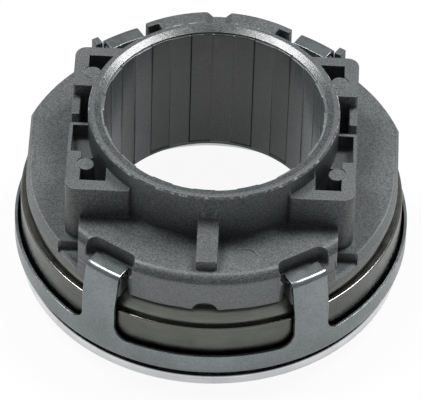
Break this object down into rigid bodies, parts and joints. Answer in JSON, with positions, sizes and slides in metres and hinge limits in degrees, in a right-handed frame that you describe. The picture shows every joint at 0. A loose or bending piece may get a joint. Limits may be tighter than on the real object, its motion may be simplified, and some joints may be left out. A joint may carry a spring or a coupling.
{
  "type": "clutch release bearing",
  "caption": "Self-centring clutch release bearing: a plastic sliding sleeve with fork slots, clipped to a ball bearing whose contact ring pushes the clutch spring.",
  "frame": {"origin": "on the bearing's axis, in the plane of the contact face", "axes": "+Z along the axis from the contact face to the sleeve's rim, -Y towards the pedestal"},
  "size_m": [0.082, 0.0824, 0.0404],
  "materials": {
    "moulded_plastic": "grainy moulded",
    "clip_steel": "satin",
    "washer_steel": "phosphated",
    "ring_steel": "oiled olive",
    "contact_steel": "ground",
    "ball_steel": "polished",
    "cage_plastic": "moulded",
    "seal_rubber": "matt"
  },
  "bodies": {
    "sleeve": {"sliding_sleeve": "moulded_plastic", "retaining_clip": "clip_steel"},
    "washer": {"spring_washer": "washer_steel"},
    "standing_ring": {"outer_ring": "ring_steel", "upper_seal": "seal_rubber", "lower_seal": "seal_rubber"},
    "turning_ring": {"contact_ring": "contact_steel"},
    "cage": {"ball_cage": "cage_plastic"},
    "ball_1": {"ball_1": "ball_steel"},
    "ball_2": {"ball_2": "ball_steel"},
    "ball_3": {"ball_3": "ball_steel"},
    "ball_4": {"ball_4": "ball_steel"},
    "ball_5": {"ball_5": "ball_steel"},
    "ball_6": {"ball_6": "ball_steel"},
    "ball_7": {"ball_7": "ball_steel"},
    "ball_8": {"ball_8": "ball_steel"},
    "ball_9": {"ball_9": "ball_steel"},
    "ball_10": {"ball_10": "ball_steel"},
    "ball_11": {"ball_11": "ball_steel"},
    "ball_12": {"ball_12": "ball_steel"},
    "ball_13": {"ball_13": "ball_steel"},
    "ball_14": {"ball_14": "ball_steel"},
    "ball_15": {"ball_15": "ball_steel"},
    "ball_16": {"ball_16": "ball_steel"},
    "ball_17": {"ball_17": "ball_steel"},
    "ball_18": {"ball_18": "ball_steel"}
  },
  "joints": [
    {"name": "centre_x", "type": "slide", "parent": "sleeve", "child": "washer", "axis": [1, 0, 0], "range_m": [-0.0003, 0.0003]},
    {"name": "centre_y", "type": "slide", "parent": "washer", "child": "standing_ring", "axis": [0, 1, 0], "range_m": [-0.0003, 0.0003]},
    {"name": "contact_spin", "type": "hinge", "parent": "standing_ring", "child": "turning_ring", "pos_m": [0, 0, 0], "axis": [0, 0, 1], "continuous": true},
    {"name": "cage_orbit", "type": "hinge", "parent": "standing_ring", "child": "cage", "pos_m": [0, 0, 0.0107], "axis": [0, 0, 1], "continuous": true},
    {"name": "ball_spin_1", "type": "hinge", "parent": "cage", "child": "ball_1", "pos_m": [0.01183, -0.03251, 0.0107], "axis": [-0.2198, 0.604, 0.766], "continuous": true},
    {"name": "ball_spin_2", "type": "hinge", "parent": "cage", "child": "ball_2", "pos_m": [0.02224, -0.02651, 0.0107], "axis": [-0.4132, 0.4924, 0.766], "continuous": true},
    {"name": "ball_spin_3", "type": "hinge", "parent": "cage", "child": "ball_3", "pos_m": [0.02996, -0.0173, 0.0107], "axis": [-0.5567, 0.3214, 0.766], "continuous": true},
    {"name": "ball_spin_4", "type": "hinge", "parent": "cage", "child": "ball_4", "pos_m": [0.03407, -0.00601, 0.0107], "axis": [-0.633, 0.1116, 0.766], "continuous": true},
    {"name": "ball_spin_5", "type": "hinge", "parent": "cage", "child": "ball_5", "pos_m": [0.03407, 0.00601, 0.0107], "axis": [-0.633, -0.1116, 0.766], "continuous": true},
    {"name": "ball_spin_6", "type": "hinge", "parent": "cage", "child": "ball_6", "pos_m": [0.02996, 0.0173, 0.0107], "axis": [-0.5567, -0.3214, 0.766], "continuous": true},
    {"name": "ball_spin_7", "type": "hinge", "parent": "cage", "child": "ball_7", "pos_m": [0.02224, 0.02651, 0.0107], "axis": [-0.4132, -0.4924, 0.766], "continuous": true},
    {"name": "ball_spin_8", "type": "hinge", "parent": "cage", "child": "ball_8", "pos_m": [0.01183, 0.03251, 0.0107], "axis": [-0.2198, -0.604, 0.766], "continuous": true},
    {"name": "ball_spin_9", "type": "hinge", "parent": "cage", "child": "ball_9", "pos_m": [0, 0.0346, 0.0107], "axis": [0, -0.6428, 0.766], "continuous": true},
    {"name": "ball_spin_10", "type": "hinge", "parent": "cage", "child": "ball_10", "pos_m": [-0.01183, 0.03251, 0.0107], "axis": [0.2198, -0.604, 0.766], "continuous": true},
    {"name": "ball_spin_11", "type": "hinge", "parent": "cage", "child": "ball_11", "pos_m": [-0.02224, 0.02651, 0.0107], "axis": [0.4132, -0.4924, 0.766], "continuous": true},
    {"name": "ball_spin_12", "type": "hinge", "parent": "cage", "child": "ball_12", "pos_m": [-0.02996, 0.0173, 0.0107], "axis": [0.5567, -0.3214, 0.766], "continuous": true},
    {"name": "ball_spin_13", "type": "hinge", "parent": "cage", "child": "ball_13", "pos_m": [-0.03407, 0.00601, 0.0107], "axis": [0.633, -0.1116, 0.766], "continuous": true},
    {"name": "ball_spin_14", "type": "hinge", "parent": "cage", "child": "ball_14", "pos_m": [-0.03407, -0.00601, 0.0107], "axis": [0.633, 0.1116, 0.766], "continuous": true},
    {"name": "ball_spin_15", "type": "hinge", "parent": "cage", "child": "ball_15", "pos_m": [-0.02996, -0.0173, 0.0107], "axis": [0.5567, 0.3214, 0.766], "continuous": true},
    {"name": "ball_spin_16", "type": "hinge", "parent": "cage", "child": "ball_16", "pos_m": [-0.02224, -0.02651, 0.0107], "axis": [0.4132, 0.4924, 0.766], "continuous": true},
    {"name": "ball_spin_17", "type": "hinge", "parent": "cage", "child": "ball_17", "pos_m": [-0.01183, -0.03251, 0.0107], "axis": [0.2198, 0.604, 0.766], "continuous": true},
    {"name": "ball_spin_18", "type": "hinge", "parent": "cage", "child": "ball_18", "pos_m": [0, -0.0346, 0.0107], "axis": [0, 0.6428, 0.766], "continuous": true}
  ],
  "couplings": [
    {"joint": "cage_orbit", "follows": "contact_spin", "ratio": 0.46485},
    {"joint": "ball_spin_1", "follows": "contact_spin", "ratio": -5.4219},
    {"joint": "ball_spin_2", "follows": "contact_spin", "ratio": -5.4219},
    {"joint": "ball_spin_3", "follows": "contact_spin", "ratio": -5.4219},
    {"joint": "ball_spin_4", "follows": "contact_spin", "ratio": -5.4219},
    {"joint": "ball_spin_5", "follows": "contact_spin", "ratio": -5.4219},
    {"joint": "ball_spin_6", "follows": "contact_spin", "ratio": -5.4219},
    {"joint": "ball_spin_7", "follows": "contact_spin", "ratio": -5.4219},
    {"joint": "ball_spin_8", "follows": "contact_spin", "ratio": -5.4219},
    {"joint": "ball_spin_9", "follows": "contact_spin", "ratio": -5.4219},
    {"joint": "ball_spin_10", "follows": "contact_spin", "ratio": -5.4219},
    {"joint": "ball_spin_11", "follows": "contact_spin", "ratio": -5.4219},
    {"joint": "ball_spin_12", "follows": "contact_spin", "ratio": -5.4219},
    {"joint": "ball_spin_13", "follows": "contact_spin", "ratio": -5.4219},
    {"joint": "ball_spin_14", "follows": "contact_spin", "ratio": -5.4219},
    {"joint": "ball_spin_15", "follows": "contact_spin", "ratio": -5.4219},
    {"joint": "ball_spin_16", "follows": "contact_spin", "ratio": -5.4219},
    {"joint": "ball_spin_17", "follows": "contact_spin", "ratio": -5.4219},
    {"joint": "ball_spin_18", "follows": "contact_spin", "ratio": -5.4219}
  ]
}
